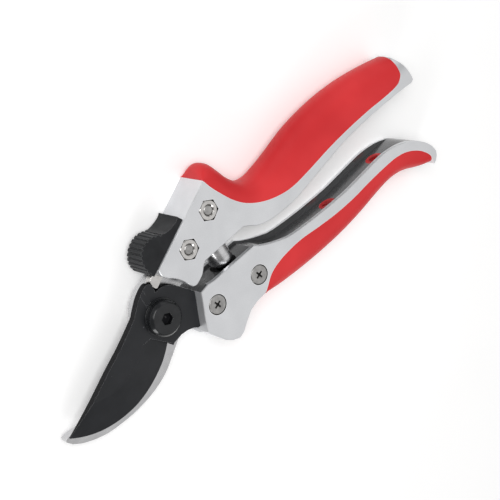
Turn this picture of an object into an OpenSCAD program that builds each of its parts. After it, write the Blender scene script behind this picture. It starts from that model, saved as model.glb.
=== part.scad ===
// Bypass pruning shears, closed and locked, lying on their back.
// The origin is on the pivot axis in the plane they rest on. The handle ends point
// to +X, the jaws to -X, the handle with the catch lies on the +Y side, and the
// pivot bolt's head faces +Z. All sizes are in millimetres.

/* [Overall] */
// Distance from the pivot to the tip of the hooked jaw
jaw_l = 54; // [45:1:65]
// Length of the gripping part of the handles, behind the neck
grip_l = 96; // [80:1:116]
// Thickness of both handles across their flat faces
handle_t = 15; // [13:0.5:18]

/* [Blades] */
// Width of the ground face along the cutting edge
grind_w = 12; // [8:0.5:14]
// Thickness of the cutting blade
blade_t = 3; // [2.5:0.1:3.6]
// Thickness left at the ground edge of the cutting blade
blade_edge_t = 0.3; // [0.2:0.05:0.6]
// Thickness of the hooked blade
hook_t = 4; // [3.3:0.1:4.8]
// Radius of the hooked blade around the pivot
hook_r = 12.9; // [11:0.1:14]
// Width of the tangs that sit in the handles
tang_w = 9; // [7:0.1:10]
// How far a tang runs past its second screw
tang_end = 5; // [4:0.1:6]
// X of the radial step on the cutting blade that the catch blocks
step_x = 3; // [2:0.1:4]

/* [Pivot] */
// Diameter of the pivot bolt's shank
bolt_d = 8; // [6:0.1:9.6]
// Diameter of the pivot bolt's head
bolt_head_d = 13.4; // [12:0.1:16]
// Height of the pivot bolt's head
bolt_head_h = 3.3; // [2.6:0.1:4]
// Chamfer around the pivot bolt's head
bolt_chamfer = 1.1; // [0.4:0.1:1.4]
// Width across the flats of the socket in the bolt's head
socket_af = 4; // [3:0.1:5]
// Depth of the socket in the bolt's head
socket_depth = 2.2; // [1.5:0.1:2.5]
// Wall of the bushing between the bolt and the cutting blade
bushing_wall = 1.4; // [1:0.1:2]
// Width across the flats of the pivot nut
pivot_nut_af = 13; // [12:0.1:15]
// Thickness of the washers at both ends of the pivot
washer_t = 0.6; // [0.4:0.1:0.8]
// Diameter of the washers
washer_d = 14.6; // [13:0.1:16]

/* [Handle screws] */
// Diameter of the screws that hold the tangs in the handles
screw_d = 4; // [3:0.1:4.8]
// Diameter of the screw heads
screw_head_d = 7.4; // [6:0.1:8]
// Height of the screw heads
screw_head_h = 2.4; // [1.8:0.1:2.8]
// Width of the cross recess in a screw head
cross_w = 4.2; // [3:0.1:4.6]
// Width of one arm of the cross
cross_t = 0.9; // [0.6:0.1:1.2]
// Depth of the cross
cross_depth = 1.5; // [0.8:0.1:1.8]
// Width across the flats of the nuts
nut_af = 7; // [6:0.1:7.6]
// Height of the nuts
nut_h = 3.2; // [2.4:0.1:3.6]

/* [Grips and channels] */
// Thickness of the rims of the channel along the inside of a handle
rim_t = 1.8; // [1.2:0.1:2.4]
// Depth of the channel in the lower handle
lower_channel_d = 2.6; // [2:0.1:3]
// Depth of the channel in the upper handle
upper_channel_d = 1.1; // [0.6:0.1:1.3]
// Depth of the shallow channels beside the return spring
head_channel_d = 1; // [0.6:0.1:1.2]
// Diameter of the pegs that lock a grip in its handle
peg_d = 7; // [5:0.1:8]
// Diameter of the hollow in each peg
peg_bore_d = 4.2; // [3:0.1:4.6]
// How squarely a grip's section rounds, 2 for an ellipse
grip_round = 2.4; // [2:0.1:3]

/* [Catch] */
// How far the catch draws back
catch_travel = 7; // [6.5:0.1:9]
// Length of the catch's base along the handle's edge
catch_l = 22.6; // [20:0.1:27]
// Width of the catch's base across the handle
catch_w = 13.6; // [12:0.1:14.5]
// Radius of the ribbed thumb hump
hump_r = 7.6; // [6.5:0.1:8]
// Lean of the catch's two side faces, in degrees
catch_lean = 15; // [8:1:18]
// Number of grooves over the hump
ribs = 11; // [7:1:13]
// Depth of the grooves over the hump
rib_d = 0.45; // [0.2:0.05:0.6]
// Width of the steel tongue
tongue_w = 4.5; // [3.6:0.1:4.8]
// Diameter of the detent ball
ball_d = 2; // [1.6:0.1:2.4]
// Thickness of the wire of the detent spring
detent_wire = 0.35; // [0.25:0.05:0.4]

/* [Return spring] */
// Outer diameter of the return spring
spring_d = 9.4; // [7.5:0.1:11.5]
// Thickness of the spring's strip
strip_t = 0.9; // [0.7:0.05:1]
// Number of turns on each side of the widest one
spring_turns = 3; // [2:1:3]
// Distance of the spring's axis from the pivot
spring_x = 32.8; // [31:0.1:34]
// Wall between a spring seat and the slot of the tang behind it
seat_wall = 0.6; // [0.4:0.1:1.5]

/* [Clearances] */
// Between the two blades' flat faces
face_gap = 0.05; // [0.02:0.01:0.1]
// Between the bolt's shank and the bushing, on the radius
run_gap = 0.05; // [0.02:0.01:0.1]
// Between a tang and the sides of its slot
tang_gap = 0.15; // [0.05:0.05:0.3]
// Between a nut or screw head and its recess, on the radius
recess_gap = 0.2; // [0.1:0.05:0.3]
// Around the catch and its tongue
slide_gap = 0.1; // [0.05:0.05:0.2]
// Around parts that swing past each other
swing_gap = 0.4; // [0.3:0.05:0.6]
// Between the spring and its seats, on the radius
spring_gap = 0.7; // [0.4:0.1:0.9]

/* [Hidden] */
$fn = 64;
e = 0.01;            // overshoot of a cut past a face

// Levels through the thickness, from the back face upwards
hook_z = handle_t / 2 - hook_t;         // back of the hooked blade
shear_z = handle_t / 2;                 // plane in which the blades meet
blade_z = shear_z + face_gap;           // back of the cutting blade
blade_top = blade_z + blade_t;          // front of the cutting blade
bolt_seat_z = blade_top + face_gap + washer_t;
bolt_top = bolt_seat_z + bolt_head_h;
tongue_z = shear_z + slide_gap;
tongue_t = blade_t - 2 * slide_gap;

// Plan of the handles: where the neck ends, and places along the gripping part,
// given as [share of the grip's length, y]
neck_x = 46;
function along(p) = [for (q = p) [neck_x + q.x * grip_l, q.y]];
function on_jaw(p) = [for (q = p) [-q.x * jaw_l, q.y]];

// Smooth curve through the points of p, with n steps from each to the next
function near(p, i) = p[max(0, min(len(p) - 1, i))];
function blend(a, b, c, d, t) =
    (2 * b + (c - a) * t + (2 * a - 5 * b + 4 * c - d) * t * t
     + (3 * b - a - 3 * c + d) * t * t * t) / 2;
function curve(p, n = 4) = [
    for (i = [0 : len(p) - 2], k = [0 : n - 1])
        blend(near(p, i - 1), p[i], p[i + 1], near(p, i + 2), k / n),
    p[len(p) - 1]];
function arc(r, from, to, n = 12) =
    [for (i = [0 : n]) r * [cos(from + (to - from) * i / n), sin(from + (to - from) * i / n)]];
function reversed(p) = [for (i = [len(p) - 1 : -1 : 0]) p[i]];

// The straight outer edge of the upper handle, on which the catch slides:
// u runs along it away from the jaws, v from it into the handle
edge_at = [6.5, 17];
edge_a = 25.2;
edge_l = 35.9;
function on_edge(u, v) =
    edge_at + [u * cos(edge_a) + v * sin(edge_a), u * sin(edge_a) - v * cos(edge_a)];
module edge_frame() {
    translate([edge_at.x, edge_at.y, 0]) rotate([0, 0, edge_a]) mirror([0, 1, 0]) children();
}

// Screws through the tangs
hook_screw_u = [12.2, 28];
hook_screw_v = 7.6;
hook_screw_at = [for (u = hook_screw_u) on_edge(u, hook_screw_v)];
blade_screw_at = [[19.3, -9.3], [39.9, -11.9]];
cross_turn = 20;            // how far the crosses stand turned

// Corners of the cutting blade's tang, from its upper side round its end, g larger all round:
// its lower corner is cut off where the grip's edge comes close
tang_cut = 4;
function blade_tang(g) =
    let (from = blade_screw_at[0], to = blade_screw_at[1],
         ahead = (to - from) / norm(to - from), side = [-ahead.y, ahead.x] * (tang_w / 2 + g))
    [from + side, to + side + (tang_end + g) * ahead,
     to - 0.35 * side + (tang_end + g) * ahead, to - side + (tang_end - tang_cut + g) * ahead,
     from - side];
// The hooked blade's tang lies straight along the upper handle's outer edge
hook_tang_w = tang_w + 1.4;

// Upper handle
upper_head = concat(
    [[edge_at.x, edge_at.y - 2.4]], arc(hook_r + 1.7, 56, 18),
    curve([[14.8, 3], [16.2, 2.5], [17.8, 2.9], [20.5, 4.3], [23, 7]]));
upper_inner_y = 7.5;
upper_inner = concat(
    [[24, upper_inner_y], [44, upper_inner_y]],
    curve(along([[0.003, 6.2], [0.042, 3.6], [0.094, 2.1], [0.17, 1.4], [0.25, 1.5],
                 [0.354, 3], [0.458, 4.5], [0.563, 5.8], [0.688, 6.4], [0.875, 6.2],
                 [0.979, 5.5]])));
upper_end = curve(along([[0.995, 6.2], [0.994, 9], [0.985, 13], [0.966, 17.6], [0.953, 19.4]]));
upper_bound = curve(concat(
    [on_edge(edge_l, 0), [39.8, 29.8], [40.9, 27.2], [42.2, 24.7], [43.7, 21.9]],
    along([[-0.002, 18.5], [0.036, 14.4], [0.094, 10.6], [0.167, 7.8], [0.25, 6.4],
           [0.354, 7], [0.479, 8.3], [0.604, 9], [0.729, 9.1], [0.844, 8.7],
           [0.917, 9.2], [0.948, 11.8]])));
upper_crown = curve(concat(
    [[39.3, 32.9], [41, 35], [43.8, 35.8], [46.4, 33.9], [48.2, 30]],
    along([[0.045, 25], [0.083, 20.4], [0.135, 18.7], [0.198, 19.6], [0.281, 21.4],
           [0.385, 23.8], [0.5, 25], [0.615, 25.1], [0.74, 24], [0.854, 21.9],
           [0.922, 20.3], [0.953, 19.4]])));

// Lower handle
lower_head = [[16.2, -1], [15, -4], [12.8, -9], [10.3, -15.2], [12.5, -19], [15, -23],
              [17.5, -25.3], [20.5, -26.5], [23, -25.8], [26, -23.5], [30, -21],
              [34, -20]];
lower_nose = [[8.6, -13.6], [15, -1.5], [19, -1.5], [19, -19], [13.7, -20], [10.6, -17]];
lower_rim = concat(
    [[20, -0.4], [23, -0.9], [44, -1.3]],
    curve(along([[0, -2.8], [0.042, -5], [0.094, -7.2], [0.146, -8.8], [0.25, -10],
                 [0.354, -10.7], [0.458, -11], [0.563, -10.5], [0.667, -10], [0.729, -10.3],
                 [0.792, -11.5], [0.854, -14], [0.906, -18], [0.938, -22], [0.95, -25.5]])));
lower_end = along([[0.942, -27.4], [0.93, -28.7], [0.92, -29.2]]);
lower_bound = curve(concat(
    [[38.5, -19.8], [41, -17.9], [44.5, -15.3]],
    along([[0.031, -13.8], [0.094, -13], [0.177, -13], [0.271, -14.2], [0.375, -15.2],
           [0.479, -15.4], [0.573, -14.9], [0.667, -14.7], [0.75, -15], [0.813, -16.6],
           [0.865, -19.6], [0.899, -23], [0.914, -25.6]])));
lower_crown = curve(concat(
    [[39, -20.5], [42.5, -22.4], [47, -23.8]],
    along([[0.057, -24.6], [0.115, -25.3], [0.193, -25.9], [0.281, -26.2], [0.385, -26.1],
           [0.49, -25.3], [0.583, -24.1], [0.677, -23.1], [0.745, -23.6], [0.797, -25.1],
           [0.844, -27.3], [0.88, -28.7], [0.912, -29.4]])));

// Jaws
blade_spine = on_jaw([[0.951, -12.6], [0.898, -11.5], [0.713, -7.3], [0.528, -2.6],
                      [0.343, 1.8], [0.165, 6.8]]);
blade_shoulder = [[-8, 7.8], [-5.9, 9.6], [-3.6, 11.5], [-0.7, 13.1], [1, 13.7]];
blade_step = [[2.2, 13.5], [step_x, 12.6], [step_x, 9.1]];
blade_heel = [[5, 9.3], [8, 8.3], [10, 6.8], [12, 4.5], [13.5, 2.5], [15, 0.5], [17, -3]];
blade_root = [[14.5, -14], [10, -13.5], [8.5, -12.3], [6, -11.3], [3, -10.9], [-1, -11.4]];
blade_edge = on_jaw([[0.07, -13.1], [0.15, -15.7], [0.25, -18.4], [0.35, -20.3],
                     [0.45, -21.4], [0.55, -21.5], [0.65, -20.9], [0.75, -19.5],
                     [0.85, -17.2], [0.92, -14.9], [0.955, -13.2]]);
// The cutting edge is close to an arc: half its chord, its sag and so its radius and centre
grind_chord = 0.43 * jaw_l;
grind_sag = 8.4;
grind_r = (grind_chord * grind_chord + grind_sag * grind_sag) / (2 * grind_sag);
grind_at = [-0.52 * jaw_l, grind_r - 21.7];
grind_end = [[-8, -3.5], [-2, -10.8], [1, -30]];    // the line where it stops, short of the pivot
hook_outer = on_jaw([[0.96, -15.6], [0.9, -18.2], [0.806, -20.7], [0.713, -22.3], [0.62, -23],
                     [0.528, -23.4], [0.435, -23.3], [0.343, -22.8], [0.25, -21.7],
                     [0.157, -19.8], [0.065, -16.8]]);
hook_inner = on_jaw([[0.985, -13.6], [0.97, -12.6], [0.889, -12.9], [0.741, -14.9], [0.593, -15.9],
                     [0.444, -15.2], [0.315, -12.2], [0.213, -7.5]]);
hook_boss = [[-9, -0.6], [-8.6, 3.6], [-7.3, 6.4], [-5.2, 9], [-1.6, 11.4]];

// Seats of the return spring: each stops short of the tang behind it
seat_r = spring_d / 2 + spring_gap;
seat_low = let (corner = blade_tang(tang_gap)[0], far = blade_tang(tang_gap)[1])
    corner.y + (spring_x - seat_r - corner.x) * (far.y - corner.y) / (far.x - corner.x) + seat_wall;
seat_high = let (v = hook_screw_v + hook_tang_w / 2 + tang_gap)
    on_edge((spring_x - seat_r - edge_at.x - v * sin(edge_a)) / cos(edge_a), v).y - seat_wall;

// Colours
metal_colour = "silver";
grip_colour = [0.8, 0.15, 0.17];
black_colour = [0.16, 0.16, 0.17];
steel_colour = [0.72, 0.72, 0.74];

// ---- shared shapes ----

// Soft grip: a D-shaped section swept between the handle's edge and its own crown
module dee_sweep(inner, outer, t) {
    steps = 14;
    n = len(inner);
    m = steps + 1;
    points = [
        for (i = [0 : n - 1], k = [0 : steps])
            let (a = 180 * k / steps,
                 out = pow(sin(a), 2 / grip_round),
                 up = sign(cos(a)) * pow(abs(cos(a)), 2 / grip_round),
                 p = inner[i] + (outer[i] - inner[i]) * out)
            [p.x, p.y, t / 2 * (1 + up)]];
    sides = [
        for (i = [0 : n - 2], k = [0 : steps])
            [i * m + k, i * m + (k + 1) % m, (i + 1) * m + (k + 1) % m, (i + 1) * m + k]];
    ends = [[for (k = [steps : -1 : 0]) k], [for (k = [0 : steps]) (n - 1) * m + k]];
    polyhedron(points, concat(sides, ends), convexity = 6);
}

module screw_holes(at) {
    for (p = at) translate([p.x, p.y, -e]) cylinder(d = screw_d, h = handle_t + 2 * e);
}

// Recesses for the heads on one face and the nuts on the other
module head_recesses(at, from) {
    for (p = at) translate([p.x, p.y, from])
        cylinder(d = screw_head_d + 2 * recess_gap, h = screw_head_h + e);
}

module nut_recesses(at, from) {
    for (p = at) translate([p.x, p.y, from]) hex(nut_af + 2 * recess_gap, nut_h + e);
}

// Hexagonal prism with corners towards +Y and -Y
module hex(af, h) {
    rotate([0, 0, 90]) cylinder(d = af / cos(30), h = h, $fn = 6);
}

module nut(at, from) {
    translate([at.x, at.y, from]) difference() {
        hex(nut_af, nut_h);
        translate([0, 0, -e]) cylinder(d = screw_d, h = nut_h + 2 * e);
    }
}

// Seat of the return spring, bored into the handles' inner edges between two places on Y
module spring_seat(from, to) {
    translate([spring_x, from, handle_t / 2]) rotate([-90, 0, 0]) cylinder(r = seat_r, h = to - from);
}

// Channel along an inner edge: side is 1 where the channel opens to +Y
module channel(edge, from, to, depth, side) {
    n = 40;
    ease = 14;
    xs = [for (i = [0 : n]) from + (to - from) * i / n];
    floor_pts = [for (x = xs)
        [x, lookup(x, edge) - side * depth * sin(90 * min(1, (x - from) / ease, (to - x) / ease))]];
    open_pts = [for (x = reversed(xs)) [x, lookup(x, edge) + side * 2]];
    translate([0, 0, rim_t]) linear_extrude(handle_t - 2 * rim_t)
        polygon(concat(floor_pts, open_pts));
}

// Round rod across a channel's floor at x, from 1 mm behind the grip's seam to h past it
module peg_rod(x, seam, side, d, h) {
    translate([x, lookup(x, seam), handle_t / 2]) rotate([-90 * side, 0, 0])
        translate([0, 0, -1]) cylinder(d = d, h = h + 1);
}

// Hollow pegs that lock a grip in the channel's floor
module pegs(seam, edge, side, depth) {
    for (x = peg_x) {
        h = abs(lookup(x, seam) - lookup(x, edge)) - depth;
        difference() {
            peg_rod(x, seam, side, peg_d, h);
            peg_rod(x, seam, side, peg_bore_d, h + e);
        }
    }
}

// ---- upper handle and what is fixed to it ----

peg_share = [0.4, 0.7];     // places of the pegs along the grip
peg_x = [for (s = peg_share) neck_x + s * grip_l];
keel_u = [1, 9];            // stretch of the tongue that stands in the catch

// Outline of the tongue in the edge's own frame, g larger all round
tongue_out = 5.4;           // how far the tongue reaches past the handle's end
tongue_v = 1.3;             // its depth under the edge
tongue_tail_w = 3;
module tongue_plan(g, travel = 0) {
    translate([-tongue_out - g, tongue_v - g]) square([tongue_out + travel + 2 * g, tongue_w + 2 * g]);
    translate([-tongue_out, tongue_v - g])
        square([tongue_out + keel_u[1] + travel + g, tongue_tail_w + 2 * g]);
}

ball_u = 7;                 // place of the detent ball
ball_wall = 0.4;            // between its hole and the slot of the tongue
ball_z = blade_top + ball_wall + slide_gap + ball_d / 2;
ball_v = 0.5;               // its centre lies this far under the edge
detent_hole_v = 4.6;

// Radius that clears the cutting blade's shoulder as it swings
shoulder_r = max([for (p = blade_shoulder) norm(p)]) + 2 * swing_gap + 1;

module upper_outline() {
    polygon(concat(upper_head, upper_inner, upper_end, reversed(upper_bound),
                   [edge_at]));
}

// The butt of the upper handle rounds over as the grip does
module butt_corner() {
    steps = 12;
    y0 = 9.2;
    y1 = 19.5;
    ring = [for (k = [0 : steps]) let (a = 90 * k / steps)
        [y0 + (y1 - y0) * pow(sin(a), 2 / grip_round),
         handle_t / 2 * (1 + pow(cos(a), 2 / grip_round))]];
    translate([neck_x + 0.94 * grip_l, 0, 0]) rotate([90, 0, 90]) linear_extrude(0.08 * grip_l)
        polygon(concat(ring, [[y1 + 4, handle_t / 2], [y1 + 4, handle_t + 1], [y0, handle_t + 1]]));
}

module upper_handle() color(metal_colour) difference() {
    linear_extrude(handle_t) upper_outline();
    butt_corner();
    translate([0, 0, handle_t]) mirror([0, 0, 1]) butt_corner();
    // room for the cutting blade's shoulder
    translate([0, 0, shear_z]) cylinder(r = shoulder_r, h = blade_top + swing_gap - shear_z);
    // slot of the hooked blade's tang
    translate([0, 0, hook_z]) linear_extrude(hook_t) polygon(hook_tang(-1, tang_gap));
    // slot of the tongue, open to the outer edge where its keel runs
    translate([0, 0, shear_z]) linear_extrude(blade_t) edge_frame_plan() {
        tongue_plan(slide_gap, catch_travel);
        translate([keel_u[0] - slide_gap, -1])
            square([keel_u[1] - keel_u[0] + catch_travel + 2 * slide_gap, tongue_v + 2]);
    }
    screw_holes(hook_screw_at);
    nut_recesses(hook_screw_at, handle_t - nut_h);
    head_recesses(hook_screw_at, -e);
    spring_seat(upper_inner_y - 1, seat_high);
    channel(upper_inner, upper_inner[0].x, neck_x + 14, head_channel_d, -1);
    channel(upper_inner, neck_x + 4, neck_x + 0.94 * grip_l, upper_channel_d, -1);
    for (x = peg_x) peg_rod(x, upper_bound, -1, peg_d, 8);
    // blind hole of the detent
    edge_frame() translate([ball_u, -1, ball_z]) rotate([-90, 0, 0])
        cylinder(d = ball_d + 2 * slide_gap, h = detent_hole_v + 1);
}

module edge_frame_plan() {
    translate(edge_at) rotate(edge_a) mirror([0, 1]) children();
}

module upper_grip() color(grip_colour) {
    dee_sweep(upper_bound, upper_crown, handle_t);
    pegs(upper_bound, upper_inner, -1, upper_channel_d);
}

// Corners of the straight part of the hooked blade, from u on, g larger on its sides and end
function hook_tang(u, g) =
    let (near_v = hook_screw_v - hook_tang_w / 2 - g, far_v = near_v + hook_tang_w + 2 * g,
         end_u = hook_screw_u[1] + tang_end + g)
    [on_edge(u, near_v), on_edge(end_u, near_v), on_edge(end_u, far_v), on_edge(max(u, 0), far_v)];

module hook_blade() color(steel_colour) difference() {
    translate([0, 0, hook_z]) linear_extrude(hook_t)
        polygon(concat(curve(reversed(hook_outer)), curve(concat(hook_inner, hook_boss)),
                       hook_tang(-3.5, 0), arc(hook_r, 20, -76)));
    translate([0, 0, -e]) cylinder(d = bolt_d, h = handle_t);
    screw_holes(hook_screw_at);
}

// Screw with its head's outer face at z = 0 and its shank towards +Z
module screw(shank_l) {
    difference() {
        union() {
            cylinder(d = screw_head_d, h = screw_head_h);
            cylinder(d = screw_d, h = shank_l);
        }
        for (a = [0, 90]) rotate(a + cross_turn)
            translate([-cross_w / 2, -cross_t / 2, -e]) cube([cross_w, cross_t, cross_depth]);
    }
}

module hook_screws() color(steel_colour)
    for (p = hook_screw_at) translate([p.x, p.y, 0]) screw(handle_t - 0.2);

module hook_nuts() color(steel_colour)
    for (p = hook_screw_at) nut(p, handle_t - nut_h);

module pivot_bolt() color(black_colour) difference() {
    union() {
        cylinder(d = bolt_d, h = bolt_top - 1);
        translate([0, 0, bolt_seat_z]) rotate_extrude()
            polygon([[0, 0], [bolt_head_d / 2, 0], [bolt_head_d / 2, bolt_head_h - bolt_chamfer],
                     [bolt_head_d / 2 - bolt_chamfer, bolt_head_h], [0, bolt_head_h]]);
    }
    translate([0, 0, bolt_top - socket_depth]) hex(socket_af, socket_depth + e);
}

module pivot_nut() color(steel_colour) difference() {
    hex(pivot_nut_af, hook_z - washer_t);
    translate([0, 0, -e]) cylinder(d = bolt_d, h = handle_t);
}

module washer(from) translate([0, 0, from]) difference() {
    cylinder(d = washer_d, h = washer_t);
    translate([0, 0, -e]) cylinder(d = bolt_d, h = washer_t + 2 * e);
}

module front_washer() color(black_colour) washer(bolt_seat_z - washer_t);

module back_washer() color(steel_colour) washer(hook_z - washer_t);

volute_rise = 4.6;          // height over which a volute narrows to its end
// Ring of the volute spring between two places along its axis
module spring_ring(r, from, to) {
    translate([spring_x, from, handle_t / 2]) rotate([-90, 0, 0]) difference() {
        cylinder(r = r, h = to - from);
        translate([0, 0, -e]) cylinder(r = r - strip_t - 0.05, h = to - from + 2 * e);
    }
}

module return_spring() color(steel_colour) {
    low = seat_low + slide_gap;
    high = seat_high - slide_gap;
    wide = [low + volute_rise, high - volute_rise];
    spring_ring(spring_d / 2, wide[0], wide[1]);
    for (i = [1 : spring_turns]) {
        r = spring_d / 2 - i * strip_t;
        spring_ring(r, wide[0] - (wide[0] - low) * i / spring_turns, wide[0] + 2);
        spring_ring(r, wide[1] - 2, wide[1] + (high - wide[1]) * i / spring_turns);
    }
}

module detent_ball() color(steel_colour)
    edge_frame() translate([ball_u, ball_v, ball_z]) sphere(d = ball_d);

module detent_spring() color(steel_colour)
    edge_frame() translate([ball_u, 0, ball_z]) rotate([-90, 0, 0]) difference() {
        from = ball_v + ball_d / 2 + slide_gap;
        translate([0, 0, from]) cylinder(d = ball_d - 2 * slide_gap, h = detent_hole_v - from);
        cylinder(d = ball_d - 2 * slide_gap - 2 * detent_wire, h = detent_hole_v + 1);
    }

// ---- lower handle and what is fixed to it ----

module lower_outline() {
    grip_end = lower_crown[len(lower_crown) - 1];
    polygon(concat(lower_head, lower_bound, [grip_end], reversed(lower_end), reversed(lower_rim)));
}

module lower_handle() color(metal_colour) difference() {
    union() {
        linear_extrude(handle_t) lower_outline();
        linear_extrude(shear_z) polygon(lower_nose);
    }
    translate([0, 0, -e]) cylinder(r = hook_r + swing_gap, h = shear_z + 2 * e);
    translate([0, 0, blade_z]) linear_extrude(blade_t) blade_plan(tang_gap);
    screw_holes(blade_screw_at);
    head_recesses(blade_screw_at, handle_t - screw_head_h);
    nut_recesses(blade_screw_at, -e);
    spring_seat(seat_low, 0);
    channel(lower_rim, 17, neck_x + 14, head_channel_d, 1);
    channel(lower_rim, neck_x - 1, neck_x + 0.84 * grip_l, lower_channel_d, 1);
    for (x = peg_x) peg_rod(x, lower_bound, 1, peg_d, 8);
}

module lower_grip() color(grip_colour) {
    dee_sweep(reversed(lower_bound), reversed(lower_crown), handle_t);
    pegs(lower_bound, lower_rim, 1, lower_channel_d);
}

// Plan of the cutting blade; g widens its tang
module blade_plan(g) {
    polygon(concat(curve(blade_spine), curve(blade_shoulder), blade_step, curve(blade_heel),
                   blade_tang(g), blade_root, curve(blade_edge)));
}

// What the grinding takes away: all that lies outside a cone around the edge's centre of curvature
module grind() {
    reach = 2 * grind_r;
    translate([grind_at.x, grind_at.y, 0]) difference() {
        cylinder(r = reach, h = handle_t);
        translate([0, 0, blade_z + blade_edge_t])
            cylinder(r1 = grind_r, r2 = grind_r - grind_w, h = blade_t - blade_edge_t);
        translate([0, 0, -e]) cylinder(r = grind_r, h = blade_z + blade_edge_t + 2 * e);
        translate([0, 0, blade_top - e]) cylinder(r = grind_r - grind_w, h = handle_t);
    }
}

module cutting_blade() color(black_colour) difference() {
    translate([0, 0, blade_z]) linear_extrude(blade_t) blade_plan(0);
    intersection() {
        grind();
        linear_extrude(handle_t)
            polygon(concat(grind_end, [[-2 * jaw_l, grind_end[2].y], [-2 * jaw_l, 0]]));
    }
    translate([0, 0, -e]) cylinder(d = bolt_d + 2 * (run_gap + bushing_wall), h = handle_t);
    screw_holes(blade_screw_at);
}

module blade_screws() color(steel_colour)
    for (p = blade_screw_at) translate([p.x, p.y, handle_t]) mirror([0, 0, 1]) screw(handle_t - 0.2);

module blade_nuts() color(steel_colour)
    for (p = blade_screw_at) nut(p, 0);

module pivot_bushing() color(steel_colour) translate([0, 0, blade_z]) difference() {
    cylinder(d = bolt_d + 2 * (run_gap + bushing_wall), h = blade_t);
    translate([0, 0, -e]) cylinder(d = bolt_d + 2 * run_gap, h = blade_t + 2 * e);
}

// ---- catch ----

hump_u = 5.2;               // centre of the hump along the edge
hump_h = 0.7;               // and its height over it
plate_h = 1.9;              // thickness of the catch's flat end

module catch_profile() {
    start = hump_u - hump_r;
    ends = start + catch_l;
    foot = hump_u + hump_r + 0.2;
    flat = ends - foot;
    round_top = [for (p = arc(hump_r, 180, 32, 24)) p + [hump_u, hump_h]];
    polygon(concat([[start, slide_gap]], round_top,
                   curve([[foot, 3.4], [foot + flat / 4, 2.6], [foot + flat * 0.625, plate_h],
                          [foot + flat * 0.86, plate_h], [ends, plate_h + 0.4]]),
                   [[ends, slide_gap]]));
}

module catch_slider() color(black_colour) {
    translate([edge_at.x, edge_at.y, handle_t / 2]) rotate([0, 0, edge_a]) difference() {
        translate([0, 0, -catch_w / 2]) linear_extrude(catch_w) catch_profile();
        // leaning side faces
        for (s = [-1, 1]) translate([-10, 0, s * catch_w / 2]) rotate([s * -catch_lean, 0, 0])
            translate([0, -5, s > 0 ? 0 : -10]) cube([50, 30, 10]);
        // grooves
        for (i = [0 : ribs - 1]) let (a = 172 - 140 * i / (ribs - 1))
            translate([hump_u + hump_r * cos(a), hump_h + hump_r * sin(a), -catch_w])
                cylinder(r = rib_d, h = 2 * catch_w, $fn = 16);
        // pocket of the tongue
        translate([keel_u[0], -1, tongue_z - handle_t / 2])
            cube([keel_u[1] - keel_u[0], 4, tongue_t]);
        // groove over the detent ball
        translate([ball_u, 0, ball_z - handle_t / 2]) {
            for (u = [0, -catch_travel]) translate([u, -1, 0]) rotate([-90, 0, 0])
                cylinder(d = ball_d + 4 * slide_gap, h = 2);
            translate([-catch_travel, -1, -ball_d / 2 - 2 * slide_gap])
                cube([catch_travel, 2, ball_d + 4 * slide_gap]);
        }
    }
}

module catch_tongue() color(steel_colour) translate([0, 0, tongue_z]) linear_extrude(tongue_t)
    difference() {
        edge_frame_plan() {
            tongue_plan(0);
            translate([keel_u[0], -3]) square([keel_u[1] - keel_u[0], tongue_v + 4]);
        }
        translate([step_x + slide_gap * 2 - 10, 0]) square([10, 30]);
    }

upper_handle();
upper_grip();
hook_blade();
hook_screws();
hook_nuts();
pivot_bolt();
pivot_nut();
front_washer();
back_washer();
return_spring();
detent_ball();
detent_spring();
lower_handle();
lower_grip();
cutting_blade();
blade_screws();
blade_nuts();
pivot_bushing();
catch_slider();
catch_tongue();
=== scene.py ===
"""Bypass pruning shears, closed and locked, lying on their back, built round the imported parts."""

from math import cos, degrees, pi, radians, sin, tau

import bmesh
import bpy
from mathutils import Matrix, Quaternion, Vector
from mathutils.bvhtree import BVHTree


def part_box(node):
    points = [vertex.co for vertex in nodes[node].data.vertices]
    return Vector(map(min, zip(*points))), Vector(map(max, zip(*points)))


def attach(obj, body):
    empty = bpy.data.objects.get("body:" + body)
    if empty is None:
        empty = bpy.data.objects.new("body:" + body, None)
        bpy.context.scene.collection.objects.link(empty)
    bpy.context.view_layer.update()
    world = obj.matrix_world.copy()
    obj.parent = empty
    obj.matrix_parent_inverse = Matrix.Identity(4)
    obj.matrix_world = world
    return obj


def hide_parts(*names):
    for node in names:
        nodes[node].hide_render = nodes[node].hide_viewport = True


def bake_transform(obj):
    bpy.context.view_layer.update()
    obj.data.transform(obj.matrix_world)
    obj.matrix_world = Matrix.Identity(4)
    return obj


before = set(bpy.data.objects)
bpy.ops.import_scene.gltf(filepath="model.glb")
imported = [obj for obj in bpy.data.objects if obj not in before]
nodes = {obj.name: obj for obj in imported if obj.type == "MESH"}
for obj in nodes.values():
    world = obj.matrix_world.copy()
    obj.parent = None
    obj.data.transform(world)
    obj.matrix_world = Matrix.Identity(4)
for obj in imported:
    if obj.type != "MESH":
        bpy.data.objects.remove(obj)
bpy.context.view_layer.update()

MM = 0.001
LEVEL = 0.01 * MM                                   # nearer than this counts as the same height
SQUARE = 50                                         # degrees: an edge that turns more is square

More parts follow.
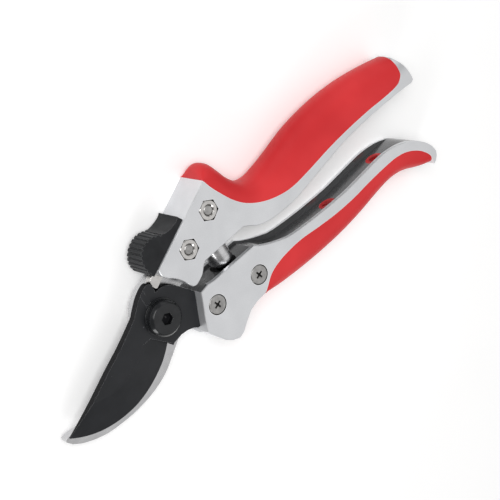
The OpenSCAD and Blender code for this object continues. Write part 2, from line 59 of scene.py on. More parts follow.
# Levels and places that the parts give
PIVOT = Vector((0, 0, 0))
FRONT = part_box("lower_handle")[1].z                 # front faces of the handles
MIDDLE = FRONT / 2                                  # half way through the handles
SPRING_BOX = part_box("return_spring")
SPRING_X = (SPRING_BOX[0].x + SPRING_BOX[1].x) / 2
SPRING_R = (SPRING_BOX[1].x - SPRING_BOX[0].x) / 2
SEAT_R = SPRING_R + 0.7 * MM                        # bore around the spring
RIM = 1.8 * MM                                      # rims of the channels
SHANK_R = 4 * MM                                    # pivot bolt
SCREW_R = 2 * MM
HEAD_R = 3.7 * MM                                   # screw heads
HEAD_H = 2.4 * MM
NUT_R = 3.5 * MM / cos(pi / 6)                      # over a nut's corners
FIT = 0.02 * MM                                     # play between a shank and its hole
RECESS_R = 4.6 * MM                                 # just past the recesses for heads and nuts
CLEAR_R = 4.8 * MM                                  # no wide edge within this of a fastener
TAIL_X = 125 * MM                                   # the ends of the handles start here


def ends_of(node, radius, falling):
    """Centres of the first and last of a row of round pieces, from the row's box."""
    low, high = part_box(node)
    low, high = low + Vector((radius, radius, 0)), high - Vector((radius, radius, 0))
    if falling:
        low.y, high.y = high.y, low.y
    return low, high


HOOK_SCREWS = ends_of("hook_screws", HEAD_R, False)
BLADE_SCREWS = ends_of("blade_screws", HEAD_R, True)


# ---- working by hand: selecting, editing and finishing ----

def rest():
    """Back to object mode with nothing selected."""
    if bpy.context.object and bpy.context.object.mode != "OBJECT":
        bpy.ops.object.mode_set(mode="OBJECT")
    bpy.ops.object.select_all(action="DESELECT")


def hold(piece):
    """Only this piece is selected, and it is the active one."""
    rest()
    piece.select_set(True)
    bpy.context.view_layer.objects.active = piece


def open_up(piece, mode="FACE"):
    """Into edit mode on this piece, with nothing selected."""
    hold(piece)
    bpy.ops.object.mode_set(mode="EDIT")
    bpy.ops.mesh.select_mode(type=mode)
    bpy.ops.mesh.select_all(action="DESELECT")


def pick(piece, kind, test):
    """Selects the faces, edges or verts of the piece being edited that pass the test."""
    mesh = bmesh.from_edit_mesh(piece.data)
    mesh.normal_update()
    for item in getattr(mesh, kind):
        if test(item):
            item.select_set(True)
    mesh.select_flush_mode()
    bmesh.update_edit_mesh(piece.data)


def named(name):
    """The piece just added, with its name and its place moved into its mesh."""
    piece = bpy.context.object
    piece.name = piece.data.name = name
    bpy.ops.object.transform_apply(location=True, rotation=True, scale=True)
    return piece


def disc(name, radius, bottom, top, at=PIVOT, sides=96):
    """A round or many-sided bar along Z from bottom to top."""
    rest()
    bpy.ops.mesh.primitive_cylinder_add(vertices=sides, radius=radius, depth=top - bottom,
                                        location=(at.x, at.y, (top + bottom) / 2))
    return named(name)


def from_part(node, name):
    """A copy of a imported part, its loose triangles joined up and its flat faces made whole."""
    weld, flat = 0.002 * MM, radians(0.4)
    rest()
    piece = bpy.data.objects.new(name, nodes[node].data.copy())
    bpy.context.scene.collection.objects.link(piece)
    piece.data.materials.clear()
    hold(piece)
    bpy.ops.mesh.customdata_custom_splitnormals_clear()
    open_up(piece, "VERT")
    bpy.ops.mesh.select_all(action="SELECT")
    bpy.ops.mesh.remove_doubles(threshold=weld)
    bpy.ops.mesh.dissolve_limited(angle_limit=flat)
    rest()
    return piece


def finish_with(piece, kind, **settings):
    """Adds a modifier with these settings and applies it."""
    hold(piece)
    modifier = piece.modifiers.new(kind.title(), kind)
    for key, value in settings.items():
        setattr(modifier, key, value)
    bpy.ops.object.modifier_apply(modifier=modifier.name)


def cut_with(piece, tool, operation="DIFFERENCE"):
    """Cuts the piece with a tool, which is then thrown away."""
    finish_with(piece, "BOOLEAN", operation=operation, object=tool, solver="EXACT")
    bpy.data.objects.remove(tool)


def smooth(piece, angle=35):
    """Smooth shading that keeps sharp edges sharp and large flat faces flat."""
    hold(piece)
    bpy.ops.object.shade_smooth_by_angle(angle=radians(angle))
    finish_with(piece, "WEIGHTED_NORMAL", mode="FACE_AREA", weight=60, keep_sharp=True)


def swept(name, path, section):
    """A bar of one section, held level along a row of points."""
    curves = []
    for kind, dots in (("section", section), ("path", path)):
        data = bpy.data.curves.new(f"{name}_{kind}", "CURVE")
        data.dimensions = "2D" if kind == "section" else "3D"
        line = data.splines.new("POLY")
        line.points.add(len(dots) - 1)
        line.use_cyclic_u = kind == "section"
        for point, dot in zip(line.points, dots):
            point.co = (*dot, 1)
        curves.append(bpy.data.objects.new(f"{name}_{kind}", data))
        bpy.context.scene.collection.objects.link(curves[-1])
    shape, bar = curves
    bar.data.twist_mode = "Z_UP"
    bar.data.bevel_mode, bar.data.bevel_object, bar.data.use_fill_caps = "OBJECT", shape, True
    hold(bar)
    bpy.ops.object.convert(target="MESH")
    bpy.data.objects.remove(shape)
    bar.name = bar.data.name = name
    return bar


def joined(name, pieces):
    """Several pieces made one, under the name given."""
    rest()
    for piece in pieces:
        piece.select_set(True)
    bpy.context.view_layer.objects.active = pieces[0]
    bpy.ops.object.join()
    piece = bpy.context.object
    piece.name = piece.data.name = name
    return piece


def paint(piece, material, test):
    """Gives another material to the faces that pass the test."""
    piece.data.materials.append(material)
    slot = len(piece.data.materials) - 1
    for face in piece.data.polygons:
        if test(face.center, face.normal):
            face.material_index = slot


def turn_of(edge):
    """Angle between an edge's two faces, in degrees."""
    if len(edge.link_faces) != 2:
        return 0
    return degrees(edge.calc_face_angle(0))


def soften(piece, width, sharper_than=SQUARE, longer_than=0, where=None, segments=3, profile=0.5,
           clamp=True):
    """Rounds the edges that turn sharply, with an edit-mode bevel."""
    open_up(piece, "EDGE")
    pick(piece, "edges", lambda edge: turn_of(edge) > sharper_than
         and edge.calc_length() > longer_than and (where is None or where(edge)))
    bpy.ops.mesh.bevel(offset=width, segments=segments, profile=profile, affect="EDGES",
                       clamp_overlap=clamp)
    rest()


def middle_of(edge):
    """The point half way along an edge."""
    return (edge.verts[0].co + edge.verts[1].co) / 2


def off_axis(point, at):
    """How far a point is from the upright axis through a place."""
    return (point.xy - at.xy).length


def flat_at(edge, z):
    """True for an edge that lies in the level plane at z."""
    return all(abs(vert.co.z - z) < LEVEL for vert in edge.verts)


def place(piece, material, body, stands_for):
    """Gives a finished piece its material and its body, and hides the part that it stands for."""
    piece.data.materials.append(material)
    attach(piece, body)
    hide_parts(stands_for)


# ---- materials ----

class Finish:
    """A material's nodes, with short ways to add and join them."""

    def __init__(self, name):
        self.material = bpy.data.materials.new(name)
        self.material.use_nodes = True
        self.tree = self.material.node_tree
        self.shader = self.tree.nodes["Principled BSDF"]
        self.coords = self.tree.nodes.new("ShaderNodeTexCoord").outputs["Object"]

    def add(self, kind, **values):
        """A new node, with its settings and unlinked sockets filled in."""
        node = self.tree.nodes.new("ShaderNode" + kind)
        for key, value in values.items():
            if hasattr(node, key):
                setattr(node, key, value)
            else:
                node.inputs[key.replace("_", " ")].default_value = value
        return node

    def join(self, output, socket):
        """A link between two sockets."""
        self.tree.links.new(output, socket)

    def set(self, **values):
        """Values set straight on the shader, the same all over the surface."""
        for key, value in values.items():
            self.shader.inputs[key.replace("_", " ")].default_value = value

    def noise(self, scale, detail=3.0, roughness=0.5, stretch=(1, 1, 1), turn=0.0):
        """Noise of so many waves a metre, stretched and turned about Z."""
        mapping = self.add("Mapping")
        mapping.inputs["Scale"].default_value = stretch
        mapping.inputs["Rotation"].default_value = (0, 0, turn)
        noise = self.add("TexNoise", Scale=scale, Detail=detail, Roughness=roughness)
        self.join(self.coords, mapping.inputs["Vector"])
        self.join(mapping.outputs["Vector"], noise.inputs["Vector"])
        return noise.outputs["Fac"]

    def ramp(self, value, *stops):
        """A colour ramp through (place, colour or grey) stops."""
        node = self.add("ValToRGB")
        points = node.color_ramp.elements
        while len(points) < len(stops):
            points.new(0.5)
        for point, (at, colour) in zip(points, stops):
            point.position = at
            point.color = (*colour, 1) if isinstance(colour, tuple) else (colour,) * 3 + (1,)
        self.join(value, node.inputs["Fac"])
        return node.outputs["Color"]

    def range(self, value, low, high, into):
        """Spreads a 0 to 1 value over low to high, into a socket of the shader."""
        node = self.add("MapRange", To_Min=low, To_Max=high)
        self.join(value, node.inputs["Value"])
        self.join(node.outputs["Result"], self.shader.inputs[into])

    def mix(self, factor, a, b):
        """One colour over another by a factor."""
        node = self.add("Mix", data_type="RGBA")
        self.join(factor, node.inputs["Factor"])
        for socket, colour in ((node.inputs[6], a), (node.inputs[7], b)):
            if isinstance(colour, tuple):
                socket.default_value = (*colour, 1)
            else:
                self.join(colour, socket)
        return node.outputs[2]

    def wear_and_highlight_edges(self, width, low=0.02, high=0.12):
        """1 on convex edges and 0 on flat faces, from how far a rounded normal leans away; a mask
        for edge wear and for painted edge highlights.
        """
        rounded = self.add("Bevel", samples=4, Radius=width)
        flat = self.add("NewGeometry")
        dot = self.add("VectorMath", operation="DOT_PRODUCT")
        self.join(rounded.outputs["Normal"], dot.inputs[0])
        self.join(flat.outputs["Normal"], dot.inputs[1])
        lean = self.add("MapRange", From_Min=1 - low, From_Max=1 - high)
        self.join(dot.outputs["Value"], lean.inputs["Value"])
        return lean.outputs["Result"]

    def bump(self, *layers):
        """Bumps from (height, strength, depth in metres) layers, one over another."""
        normal = None
        for height, strength, depth in layers:
            node = self.add("Bump", Strength=strength, Distance=depth)
            self.join(height, node.inputs["Height"])
            if normal:
                self.join(normal, node.inputs["Normal"])
            normal = node.outputs["Normal"]
        self.join(normal, self.shader.inputs["Normal"])


def satin_aluminium():
    """Die-cast handle, blasted and clear coated: fine grain, faint clouds, brighter worn edges."""
    f = Finish("satin aluminium")
    clouds = f.noise(90, 3)
    tone = f.ramp(clouds, (0.3, (0.68, 0.69, 0.71)), (0.7, (0.76, 0.77, 0.79)))
    speck = f.noise(2600, 2)
    grain = f.ramp(speck, (0.35, 0.93), (0.65, 1.0))
    grained = f.add("Mix", data_type="RGBA", blend_type="MULTIPLY", Factor=0.6)
    f.join(tone, grained.inputs[6])
    f.join(grain, grained.inputs[7])
    f.join(f.mix(f.wear_and_highlight_edges(0.4 * MM), grained.outputs[2], (0.93, 0.94, 0.95)),
           f.shader.inputs["Base Color"])
    f.range(clouds, 0.30, 0.40, "Roughness")
    f.set(Metallic=0.6, Coat_Weight=0.2, Coat_Roughness=0.25)
    f.bump((speck, 0.12, 0.05 * MM), (f.noise(420, 2), 0.05, 0.2 * MM))
    return f.material


def channel_painted_shade():
    """The inside of the handle's channel and its spring seat: painted shade, a darker glossy grey.
    """
    f = Finish("channel painted shade")
    clouds = f.noise(120, 3, stretch=(0.4, 1, 1))
    f.join(f.ramp(clouds, (0.3, (0.115, 0.117, 0.120)), (0.7, (0.14, 0.142, 0.146))),
           f.shader.inputs["Base Color"])
    f.range(clouds, 0.22, 0.32, "Roughness")
    f.set(Metallic=0.5, Coat_Weight=0.4, Coat_Roughness=0.15)
    f.bump((f.noise(900, 2), 0.03, 0.03 * MM))
    return f.material


def red_rubber():
    """Soft moulded grip: matt skin with a fine stipple and slightly uneven colour."""
    f = Finish("red rubber")
    clouds = f.noise(28, 3)
    f.join(f.ramp(clouds, (0.3, (0.54, 0.020, 0.024)), (0.7, (0.74, 0.042, 0.046))),
           f.shader.inputs["Base Color"])
    stipple = f.noise(2200, 2)
    f.range(stipple, 0.40, 0.50, "Roughness")
    f.set(Specular_IOR_Level=0.2)
    f.bump((stipple, 0.10, 0.06 * MM), (f.noise(260, 3), 0.05, 0.3 * MM))
    return f.material


def black_coating():
    """Low-friction blade coating: near-black, satin, with a few pin marks and thin bright edges,
    part worn coating and part painted highlight.
    """
    f = Finish("black coating")
    clouds = f.noise(120, 4)
    tone = f.ramp(clouds, (0.3, (0.016, 0.017, 0.019)), (0.7, (0.023, 0.024, 0.027)))
    marks = f.ramp(f.noise(900, 2, 0.4), (0.76, 0.0), (0.8, 1.0))
    spotted = f.mix(marks, tone, (0.10, 0.10, 0.11))
    # lighter edges: worn coating and painted highlight
    f.join(f.mix(f.wear_and_highlight_edges(0.2 * MM, 0.08, 0.35), spotted, (0.34, 0.34, 0.35)),
           f.shader.inputs["Base Color"])
    f.range(clouds, 0.30, 0.42, "Roughness")
    f.set(Specular_IOR_Level=0.25)
    f.bump((f.noise(2400, 2), 0.08, 0.04 * MM))
    return f.material


def coating_painted_shade():
    """The same coating, duller and darker: painted shade on the blade's rim and in the bolt's
    socket, with scattered rubbed spots.
    """
    f = Finish("coating painted shade")
    clouds = f.noise(200, 3)
    tone = f.ramp(clouds, (0.3, (0.004, 0.004, 0.005)), (0.7, (0.008, 0.008, 0.010)))
    f.join(f.mix(f.ramp(f.noise(700, 2), (0.68, 0.0), (0.74, 1.0)), tone, (0.05, 0.05, 0.052)),
           f.shader.inputs["Base Color"])
    f.range(clouds, 0.5, 0.65, "Roughness")
    f.set(Specular_IOR_Level=0.14)
    f.bump((f.noise(1800, 2), 0.12, 0.04 * MM))
    return f.material


def black_oxide():
    """The bolt: blackened and oiled, glossier than the blade."""
    f = Finish("black oxide")
    clouds = f.noise(300, 3)
    tone = f.ramp(clouds, (0.3, (0.010, 0.011, 0.012)), (0.7, (0.018, 0.019, 0.021)))
    f.join(f.mix(f.wear_and_highlight_edges(0.2 * MM, 0.08, 0.4), tone, (0.3, 0.3, 0.31)),
           f.shader.inputs["Base Color"])
    f.range(clouds, 0.16, 0.26, "Roughness")
    f.set(Specular_IOR_Level=0.2, Coat_Weight=0.3, Coat_Roughness=0.08)
    f.bump((f.noise(1600, 2), 0.05, 0.03 * MM))
    return f.material


def ground_steel():
    """Ground and polished blade steel, with fine strokes across it."""
    f = Finish("ground steel")
    strokes = f.noise(700, 3, stretch=(0.06, 1, 1), turn=radians(-62))
    clouds = f.noise(110, 3)
    f.join(f.ramp(clouds, (0.3, (0.50, 0.50, 0.51)), (0.7, (0.63, 0.63, 0.64))),
           f.shader.inputs["Base Color"])
    f.range(strokes, 0.20, 0.36, "Roughness")
    f.set(Metallic=1.0)
    f.bump((strokes, 0.12, 0.04 * MM))
    return f.material


def bright_nickel():
    """Plated fasteners: bright, with a faint warm tone that varies in patches."""
    f = Finish("bright nickel")
    clouds = f.noise(400, 3)
    f.join(f.ramp(clouds, (0.3, (0.56, 0.545, 0.53)), (0.7, (0.68, 0.665, 0.65))),
           f.shader.inputs["Base Color"])
    f.range(f.noise(1500, 2), 0.18, 0.30, "Roughness")
    f.set(Metallic=1.0)
    f.bump((f.noise(1800, 2), 0.06, 0.04 * MM))
    return f.material


def dull_zinc():
    """The handle screws: zinc gone dull, greyer in patches."""
    f = Finish("dull zinc")
    clouds = f.noise(500, 3)
    f.join(f.ramp(clouds, (0.3, (0.33, 0.325, 0.32)), (0.7, (0.47, 0.465, 0.455))),
           f.shader.inputs["Base Color"])
    f.range(f.noise(1500, 2), 0.24, 0.40, "Roughness")
    f.set(Metallic=1.0)
    f.bump((f.noise(1800, 2), 0.08, 0.04 * MM))
    return f.material


def spring_steel():
    """Rolled strip: polished on the wide middle turn and streaked, with painted shade turning it
    near black towards both ends.
    """
    f = Finish("spring steel")
    streaks = f.noise(900, 3, stretch=(0.15, 1, 0.15))
    bright = f.ramp(streaks, (0.3, (0.56, 0.56, 0.57)), (0.7, (0.72, 0.72, 0.73)))
    along = f.add("SeparateXYZ")
    f.join(f.coords, along.inputs["Vector"])
    from_middle = f.add("Math", operation="SUBTRACT")
    from_middle.inputs[1].default_value = (SPRING_BOX[0].y + SPRING_BOX[1].y) / 2
    f.join(along.outputs["Y"], from_middle.inputs[0])
    out = f.add("Math", operation="ABSOLUTE")
    f.join(from_middle.outputs["Value"], out.inputs[0])
    # painted shade: towards both ends the strip goes near black
    black = f.add("MapRange", From_Min=3.2 * MM, From_Max=4.6 * MM)
    f.join(out.outputs["Value"], black.inputs["Value"])
    f.join(f.mix(black.outputs["Result"], bright, (0.03, 0.03, 0.032)),
           f.shader.inputs["Base Color"])
    f.range(streaks, 0.2, 0.34, "Roughness")
    f.set(Metallic=1.0)
    f.bump((streaks, 0.1, 0.03 * MM))
    return f.material


def black_plastic():
    """Moulded catch: black, spark-eroded texture, paler on the ribs: rubbed wear and painted
    highlight.
    """
    f = Finish("black plastic")
    clouds = f.noise(240, 3)
    tone = f.ramp(clouds, (0.3, (0.013, 0.0135, 0.015)), (0.7, (0.020, 0.021, 0.023)))
    # paler rib crests: rubbed wear and painted highlight
    f.join(f.mix(f.wear_and_highlight_edges(0.3 * MM, 0.04, 0.3), tone, (0.12, 0.123, 0.13)),
           f.shader.inputs["Base Color"])
    f.range(f.noise(1900, 2), 0.38, 0.52, "Roughness")
    f.set(Specular_IOR_Level=0.16)
    f.bump((f.noise(2600, 2), 0.16, 0.06 * MM))
    return f.material


def recess_painted_shade():
    """Painted shade in the pressed cross of a screw's head and on the walls of the recesses round
    heads and nuts.
    """
    f = Finish("recess painted shade")
    f.join(f.ramp(f.noise(800, 3), (0.3, (0.03, 0.029, 0.028)), (0.7, (0.07, 0.068, 0.065))),
           f.shader.inputs["Base Color"])
    f.range(f.noise(1500, 2), 0.4, 0.55, "Roughness")
    f.set(Metallic=0.5)
    f.bump((f.noise(1500, 2), 0.1, 0.04 * MM))
    return f.material


def oiled_steel():
    """Hidden bush: turned steel with a film of oil."""
    f = Finish("oiled steel")
    rings = f.noise(1200, 2, stretch=(1, 1, 0.1))
    f.join(f.ramp(rings, (0.3, (0.38, 0.36, 0.31)), (0.7, (0.52, 0.50, 0.44))),
           f.shader.inputs["Base Color"])
    f.range(rings, 0.15, 0.3, "Roughness")
    f.set(Metallic=1.0, Coat_Weight=0.3)
    f.bump((rings, 0.1, 0.03 * MM))
    return f.material


def pale_floor():
    """The studio floor, near white, with a very faint glow of its own."""
    f = Finish("pale floor")
    f.join(f.ramp(f.noise(12, 2), (0.3, 0.96), (0.7, 0.98)), f.shader.inputs["Base Color"])
    f.range(f.noise(300, 2), 0.8, 0.9, "Roughness")
    f.set(Emission_Color=(1, 1, 1, 1), Emission_Strength=0.16)
    return f.material


ALUMINIUM = satin_aluminium()
CHANNEL_SHADE = channel_painted_shade()
RED = red_rubber()
COATING = black_coating()
SHADED_COATING = coating_painted_shade()
OXIDE = black_oxide()
STEEL = ground_steel()
NICKEL = bright_nickel()
SPRING = spring_steel()
PLASTIC = black_plastic()
OILED = oiled_steel()
RECESS_SHADE = recess_painted_shade()
ZINC = dull_zinc()


# ---- handles ----

def in_spring_seat(at, normal):
    """The bore around the return spring, and whatever lies across its middle."""
    across, near = Vector((at.x - SPRING_X, at.z - MIDDLE)).length, 0.2 * MM
    wall = abs(across - SEAT_R) < near and abs(normal.y) < 0.3
    return wall or across < SEAT_R * 0.9


def in_channel(at, normal, side, start):
    """The floor and the walls of the channel along a handle's inner edge; side is its way out."""
    near = 0.05 * MM
    wall = abs(normal.z) > 0.9 and min(abs(at.z - RIM), abs(FRONT - RIM - at.z)) < near
    floor = normal.y * side > 0.4 and RIM < at.z < FRONT - RIM and at.x > start
    return wall or floor


def round_fasteners(at, normal, centres):
    """The walls of the recesses for screw heads and nuts."""
    return abs(normal.z) < 0.5 and min(off_axis(at, centre) for centre in centres) < RECESS_R


def handle(node, name, body, side, start, grip_node, centres):
    """A cast handle: rounded rims, and painted shade in the channel, the spring seat and the
    recesses.

    Open edges get a wide round, and those by the grip or a fastener, and at the handle's end, a
    narrow one.
    """
    piece = from_part(node, name)
    rubber = BVHTree.FromObject(nodes[grip_node], bpy.context.evaluated_depsgraph_get())
    wide, narrow = 0.5 * MM, 0.15 * MM

    def on_a_face(edge):
        return flat_at(edge, FRONT) or flat_at(edge, 0)

    def by_itself(edge):
        at = middle_of(edge)
        distance_to_grip = rubber.find_nearest(at)[3]
        return (on_a_face(edge) and at.x < TAIL_X and distance_to_grip > wide
                and min(off_axis(at, centre) for centre in centres) > CLEAR_R)

    soften(piece, wide, where=by_itself, clamp=False)
    soften(piece, narrow, SQUARE, 0.4 * MM, on_a_face, segments=2)
    smooth(piece, 28)
    place(piece, ALUMINIUM, body, node)
    # painted shade: a darker grey over the channel, the spring's seat and whatever lies across it
    paint(piece, CHANNEL_SHADE, lambda at, normal: in_spring_seat(at, normal)
          or in_channel(at, normal, side, start))
    # painted shade on the walls of the recesses round the screw heads and nuts
    paint(piece, RECESS_SHADE, lambda at, normal: round_fasteners(at, normal, centres))


def grip(node, name, body):
    """A soft grip: the swept section made smooth, with its edges kept along the seam."""
    piece = from_part(node, name)
    open_up(piece, "EDGE")
    bpy.ops.mesh.select_all(action="SELECT")
    bpy.ops.mesh.tris_convert_to_quads(face_threshold=radians(50), shape_threshold=radians(60))
    bpy.ops.mesh.select_all(action="DESELECT")
    pick(piece, "edges", lambda edge: turn_of(edge) > 55)
    bpy.ops.transform.edge_crease(value=1)
    rest()
    finish_with(piece, "SUBSURF", levels=2, render_levels=2)
    smooth(piece, 45)
    place(piece, RED, body, node)


# ---- blades ----

def hook_blade():
    """The hooked blade: ground flat, its long edges broken with a narrow bevel."""
    back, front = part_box("hook_blade")[0].z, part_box("hook_blade")[1].z
    piece = from_part("hook_blade", "hook_blade_ground")
    soften(piece, 0.45 * MM, SQUARE, 0.3 * MM, lambda edge: flat_at(edge, front), segments=2)
    soften(piece, 0.3 * MM, SQUARE, 0.3 * MM, lambda edge: flat_at(edge, back))
    smooth(piece, 28)
    place(piece, STEEL, "hook_side", "hook_blade")


def spine_points(piece, back):
    """Points along the blade's curved back, from the tip to the heel."""
    open_up(piece, "EDGE")
    spine = {}
    for edge in bmesh.from_edit_mesh(piece.data).edges:
        walls = [face.normal for face in edge.link_faces if abs(face.normal.z) < 0.1]
        outward = sum(walls, Vector())
        faces_back = outward.y - 0.4 * outward.x > 0.5
        if flat_at(edge, back) and middle_of(edge).x < 0 and faces_back:
            for vert in edge.verts:
                spine[round(vert.co.x, 6)] = vert.co.y
    rest()
    return sorted(spine.items())


def cutting_blade():
    """The cutting blade: a broad shallow chamfer down its back, and its other edges just broken."""
    back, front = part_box("cutting_blade")[0].z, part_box("cutting_blade")[1].z
    width, depth = 1.9 * MM, 0.5 * MM                   # of the chamfer
    above, overhang = 1.5 * MM, 0.4 * width             # how far the tool stands clear
    slope = depth / width
    piece = from_part("cutting_blade", "cutting_blade_coated")
    points = [(x, y, front) for x, y in spine_points(piece, back)]
    heel_x, heel_y, heel_z = points[-1]
    points.append((heel_x + 4 * MM, heel_y + 1.5 * MM, heel_z))     # the chamfer runs out here
    section = [(-width - overhang, overhang * slope, 0), (width, -depth - width * slope, 0),
               (width, above, 0), (-width - overhang, above, 0)]
    cut_with(piece, swept("spine_tool", points, section))
    heel = 16 * MM
    soften(piece, 0.16 * MM, 25, 0.3 * MM, lambda edge: middle_of(edge).x < heel, segments=2)
    smooth(piece, 12)
    place(piece, COATING, "blade_side", "cutting_blade")
    # painted shade on the blade's rim walls
    paint(piece, SHADED_COATING, lambda at, normal: abs(normal.z) < 0.3)


# ---- pivot ----

def pivot_bolt():
    """Shank and chamfered head, with a six-sided socket."""
    head_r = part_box("pivot_bolt")[1].x
    seat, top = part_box("front_washer")[1].z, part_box("pivot_bolt")[1].z
    socket_r, socket_depth, top_face_r = 2.35 * MM, 2.2 * MM, 3.5 * MM
    head = disc("head", head_r, seat, top)
    soften(head, 1.0 * MM, where=lambda edge: flat_at(edge, top), segments=1)
    soften(head, 0.16 * MM, 30, where=lambda edge: not flat_at(edge, seat))
    cut_with(head, disc("socket", socket_r, top - socket_depth, top + MM, sides=6))
    soften(head, 0.14 * MM, SQUARE, 0.3 * MM,
           lambda edge: off_axis(middle_of(edge), PIVOT) < top_face_r)
    shank = disc("shank", SHANK_R, 0, seat)
    soften(shank, 0.45 * MM, where=lambda edge: flat_at(edge, 0), segments=1)
    piece = joined("pivot_bolt_socketed", [head, shank])
    smooth(piece)
    place(piece, OXIDE, "hook_side", "pivot_bolt")
    # painted shade inside the socket
    paint(piece, SHADED_COATING, lambda at, normal: off_axis(at, PIVOT) < socket_r + 0.25 * MM
          and top - socket_depth - 0.1 * MM < at.z < top - 0.1 * MM)


def washer(node, name, material):
    """A flat washer with rounded edges."""
    low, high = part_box(node)
    piece = disc(name, high.x, low.z, high.z)
    cut_with(piece, disc("hole", SHANK_R + FIT, low.z - MM, high.z + MM))
    soften(piece, 0.14 * MM)
    smooth(piece)
    place(piece, material, "hook_side", node)


def hex_nut(corner_r, hole_r, bottom, top, at=PIVOT, face_up=True):
    """A nut whose outer face has its corners turned off and its hole countersunk."""
    face = top if face_up else bottom
    blank = disc("nut", corner_r, bottom, top, at, sides=6)
    turned = disc("turned", corner_r * 1.002, bottom, top, at)
    soften(turned, corner_r * 0.16, where=lambda edge: flat_at(edge, face), segments=5,
           profile=0.4)
    cut_with(blank, turned, "INTERSECT")
    cut_with(blank, disc("hole", hole_r, bottom - MM, top + MM, at, sides=48))
    soften(blank, 0.32 * MM, where=lambda edge: flat_at(edge, face)
           and off_axis(middle_of(edge), at) < hole_r * 1.01, segments=1)
    return blank


def pivot_nut():
    """The nut on the back, with its turned face downwards."""
    low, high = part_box("pivot_nut")
    piece = hex_nut(high.y, SHANK_R + FIT, low.z, high.z, face_up=False)
    piece.name = piece.data.name = "pivot_nut_turned"
    smooth(piece, 25)
    place(piece, NICKEL, "hook_side", "pivot_nut")


# ---- handle screws ----

def cross_tools(at, mouth, inward):
    """The tapered cross that is pressed into a screw's head: two bars and a round core."""
    depth, length, breadth, core_r, turn = 1.5 * MM, 3.3 * MM, 0.75 * MM, 0.7 * MM, 20
    tools = []
    for quarter in (0, 90):
        rest()
        bpy.ops.mesh.primitive_cube_add(size=1, location=(at.x, at.y, mouth + inward * depth / 2),
                                        rotation=(0, 0, radians(turn + quarter)))
        bpy.context.object.scale = (length, breadth, depth)
        bar = named("bar")
        open_up(bar)
        pick(bar, "faces", lambda face: face.normal.z * inward > 0.9)
        bpy.ops.transform.resize(value=(0.45, 0.45, 1))
        rest()
        tools.append(bar)
    ends = sorted((mouth + inward * depth, mouth - inward * depth * 0.2))
    return tools + [disc("core", core_r, *ends, at, sides=24)]


def cross_screw(at, head_up):
    """A flush screw: a head with a rounded rim and a cross, and a shank with a turned end."""
    face, inward = (FRONT, -1) if head_up else (0, 1)
    under = face + inward * HEAD_H
    head = disc("head", HEAD_R, *sorted((face, under)), at, sides=64)
    soften(head, 0.3 * MM, where=lambda edge: flat_at(edge, face))
    for tool in cross_tools(at, face - inward * LEVEL, inward):
        cut_with(head, tool)
    end = 0.2 * MM if head_up else FRONT - 0.2 * MM
    shank = disc("shank", SCREW_R * 0.98, *sorted((under, end)), at, sides=32)
    soften(shank, 0.5 * MM, where=lambda edge: flat_at(edge, end))
    return [head, shank]


def screws(node, name, centres, head_up, body):
    """Both screws of one side, with painted shade in the crosses of their heads."""
    piece = joined(name, [part for at in centres for part in cross_screw(at, head_up)])
    smooth(piece)
    face, cross_r = FRONT if head_up else 0, 2.3 * MM
    place(piece, ZINC, body, node)
    # painted shade inside the crosses
    paint(piece, RECESS_SHADE, lambda at, normal: 0.1 * MM < abs(at.z - face) < 1.6 * MM
          and min(off_axis(at, centre) for centre in centres) < cross_r)


def nuts(node, name, centres, face_up, body):
    """Both nuts of one side."""
    low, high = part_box(node)
    piece = joined(name, [hex_nut(NUT_R, SCREW_R, low.z, high.z, at, face_up) for at in centres])
    smooth(piece, 25)
    place(piece, NICKEL, body, node)


# ---- return spring ----

def return_spring():
    """A double volute: one strip wound narrow, wide and narrow again."""
    turns, steps, strip, thick = 3.2, 40, 7.4 * MM, 0.75 * MM
    low, high = SPRING_BOX[0].y, SPRING_BOX[1].y
    rise = (high - low - strip) / 2
    narrowing, level_share = SPRING_R * 0.62, 0.16
    count = int(2 * turns * steps)
    path = []
    for i in range(count + 1):
        share = 2 * i / count - 1                       # -1 at the lower end, 1 at the upper
        radius = (SPRING_R - thick / 2
                  - narrowing * max(0, abs(share) - level_share) / (1 - level_share))
        angle = share * turns * tau
        path.append((radius * cos(angle), radius * sin(angle), rise * share))
    section = [(a * thick / 2, b * strip / 2, 0) for a, b in ((-1, -1), (1, -1), (1, 1), (-1, 1))]
    piece = swept("return_spring_volute", path, section)
    piece.data.transform(Matrix.Translation((SPRING_X, (low + high) / 2, MIDDLE))
                         @ Matrix.Rotation(radians(-90), 4, "X")
                         @ Matrix.Rotation(radians(150), 4, "Z"))
    soften(piece, 0.14 * MM, 60, segments=2)
    smooth(piece)
    piece.data.materials.append(SPRING)
    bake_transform(piece)
    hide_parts("return_spring")


# ---- catch ----

def catch():
    """The ribbed thumb catch, its edges just broken."""
    piece = from_part("catch_slider", "catch_slider_ribbed")
    soften(piece, 0.12 * MM, SQUARE, 0.5 * MM, segments=2)
    smooth(piece, 30)
    place(piece, PLASTIC, "catch", "catch_slider")


def catch_tongue():
    """The tongue that locks the blades, with rounded front corners."""
    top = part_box("catch_tongue")[1].z
    piece = from_part("catch_tongue", "catch_tongue_rounded")
    soften(piece, 0.9 * MM, 40, 2 * MM, lambda edge: middle_of(edge).x < 7 * MM
           and abs(edge.verts[0].co.z - edge.verts[1].co.z) > 2 * MM, segments=5)
    soften(piece, 0.2 * MM, SQUARE, 0.15 * MM, lambda edge: flat_at(edge, top))
    smooth(piece)
    place(piece, NICKEL, "catch", "catch_tongue")


def hidden_parts():
    """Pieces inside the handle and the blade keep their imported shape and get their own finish."""
    finishes = {"detent_ball": NICKEL, "detent_spring": SPRING, "pivot_bushing": OILED}
    for node, material in finishes.items():
        nodes[node].data.materials.clear()
        nodes[node].data.materials.append(material)


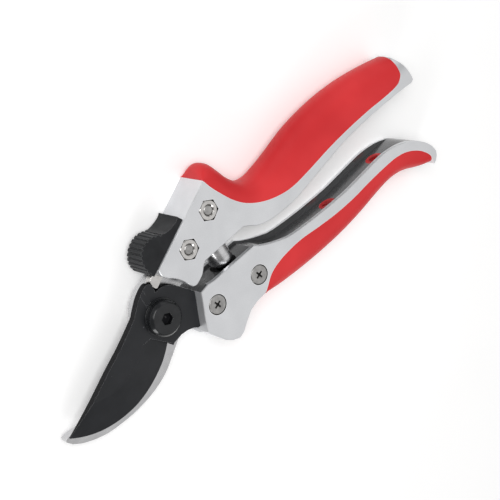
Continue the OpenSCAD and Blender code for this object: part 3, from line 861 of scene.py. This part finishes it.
handle("upper_handle", "upper_handle_casting", "hook_side", side=-1, start=26 * MM,
       grip_node="upper_grip", centres=HOOK_SCREWS)
handle("lower_handle", "lower_handle_casting", "blade_side", side=1, start=17 * MM,
       grip_node="lower_grip", centres=BLADE_SCREWS)
grip("upper_grip", "upper_grip_soft", "hook_side")
grip("lower_grip", "lower_grip_soft", "blade_side")
hook_blade()
cutting_blade()
pivot_bolt()
washer("front_washer", "front_washer_rounded", OXIDE)
washer("back_washer", "back_washer_rounded", NICKEL)
pivot_nut()
screws("hook_screws", "hook_screws_crossed", HOOK_SCREWS, False, "hook_side")
nuts("hook_nuts", "hook_nuts_turned", HOOK_SCREWS, True, "hook_side")
screws("blade_screws", "blade_screws_crossed", BLADE_SCREWS, True, "blade_side")
nuts("blade_nuts", "blade_nuts_turned", BLADE_SCREWS, False, "blade_side")
return_spring()
catch()
catch_tongue()
hidden_parts()


# ---- floor, light and camera ----

def stage():
    """The floor, just below the shears."""
    drop, width = 0.02 * MM, 6
    rest()
    bpy.ops.mesh.primitive_plane_add(size=width, location=(0, 0, -drop))
    floor = named("floor")
    floor.data.materials.append(pale_floor())


def softbox(name, azimuth, elevation, distance, size, power, aim=Vector((0.05, 0, 0))):
    """A square soft light aimed at the shears."""
    a, e = radians(azimuth), radians(elevation)
    away = Vector((sin(a) * cos(e), -cos(a) * cos(e), sin(e)))
    rest()
    bpy.ops.object.light_add(type="AREA", location=aim + away * distance)
    light = bpy.context.object
    light.name = name
    light.data.size = size
    light.data.energy = power
    light.rotation_euler = (-away).to_track_quat("-Z", "Y").to_euler()


def studio():
    """Four soft lights and a pale sky."""
    softbox("key", 215, 58, distance=0.9, size=0.6, power=5.2)
    softbox("fill", 307, 19, distance=1.0, size=0.35, power=2.6)
    softbox("rim", 130, 35, distance=1.0, size=0.6, power=0.8)
    softbox("sheen", 41, 50, distance=1.1, size=0.9, power=1.5)
    world = bpy.data.worlds.new("studio")
    bpy.context.scene.world = world
    world.use_nodes = True
    background = world.node_tree.nodes["Background"]
    background.inputs["Color"].default_value = (1, 0.99, 0.98, 1)
    background.inputs["Strength"].default_value = 0.27


def camera():
    """A long lens above the jaws, turned so that the shears stand on their points."""
    azimuth, elevation, roll, distance = radians(221), radians(53), radians(103), 0.4761
    aim = Vector((45.3, -5.7, 7.5)) * MM
    back = Vector((sin(azimuth) * cos(elevation), -cos(azimuth) * cos(elevation), sin(elevation)))
    view = bpy.data.cameras.new("camera")
    view.lens, view.sensor_width = 91.4, 36
    view.clip_start, view.clip_end = 0.01, 10
    seat = bpy.data.objects.new("camera", view)
    bpy.context.scene.collection.objects.link(seat)
    seat.location = aim + back * distance
    seat.rotation_mode = "QUATERNION"
    seat.rotation_quaternion = (-back).to_track_quat("-Z", "Y") @ Quaternion((0, 0, 1), roll)
    bpy.context.scene.camera = seat
    bpy.context.scene.view_settings.view_transform = "Standard"


stage()
studio()
camera()
rest()
